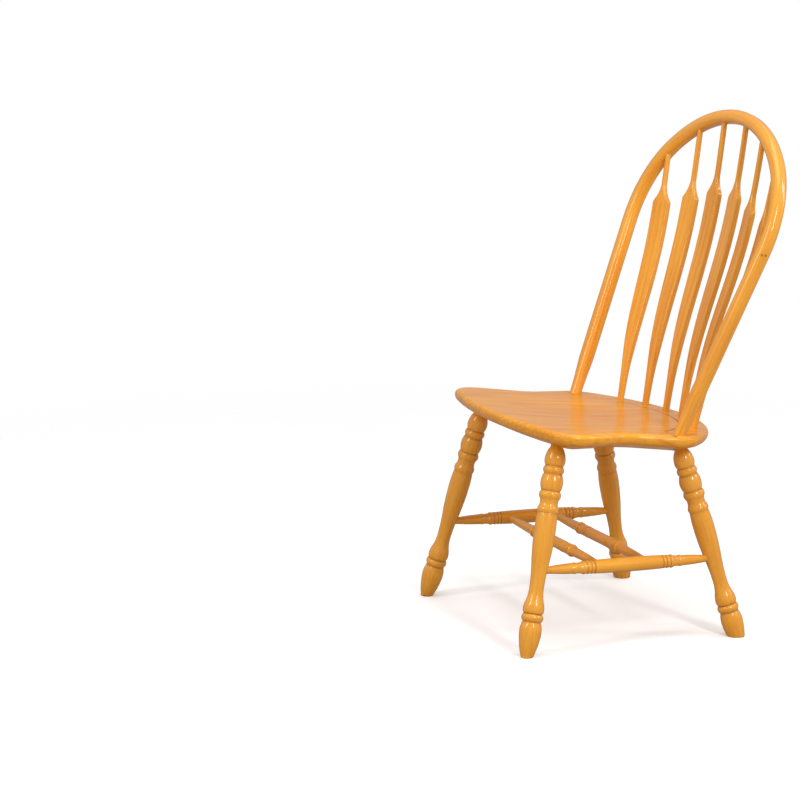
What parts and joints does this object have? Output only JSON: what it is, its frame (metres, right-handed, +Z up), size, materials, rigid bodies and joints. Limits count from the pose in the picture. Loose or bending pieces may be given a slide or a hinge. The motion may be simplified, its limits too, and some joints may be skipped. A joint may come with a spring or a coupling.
{
  "type": "bow-back dining chair",
  "caption": "Bow-back dining side chair in honey-coloured lacquered wood, with flattened spindles, a shaped seat and turned, braced legs.",
  "frame": {"origin": "on the floor, in the middle of the chair's overall box", "axes": "+Z up; the chair faces -Y; +X is the sitter's left"},
  "size_m": [0.58, 0.5902, 1.0261],
  "materials": {
    "seat_wood": "honey stain under clear gloss lacquer",
    "leg_wood": "honey stain under clear gloss lacquer",
    "stretcher_wood": "honey stain under clear gloss lacquer",
    "spindle_wood": "honey stain under clear gloss lacquer",
    "bow_wood": "honey stain under clear gloss lacquer",
    "screw_steel": "zinc plated"
  },
  "bodies": {
    "root": {"seat_board_1": "seat_wood", "seat_board_2": "seat_wood", "seat_board_3": "seat_wood", "seat_board_4": "seat_wood", "seat_board_5": "seat_wood", "leg_front_left": "leg_wood", "leg_front_right": "leg_wood", "leg_rear_left": "leg_wood", "leg_rear_right": "leg_wood", "stretcher_side_left": "stretcher_wood", "stretcher_side_right": "stretcher_wood", "stretcher_cross_front": "stretcher_wood", "stretcher_cross_rear": "stretcher_wood", "spindle_inner_left": "spindle_wood", "spindle_inner_right": "spindle_wood", "spindle_middle_left": "spindle_wood", "spindle_middle_right": "spindle_wood", "spindle_outer_left": "spindle_wood", "spindle_outer_right": "spindle_wood", "bow": "bow_wood", "bow_screws": "screw_steel"}
  },
  "joints": []
}
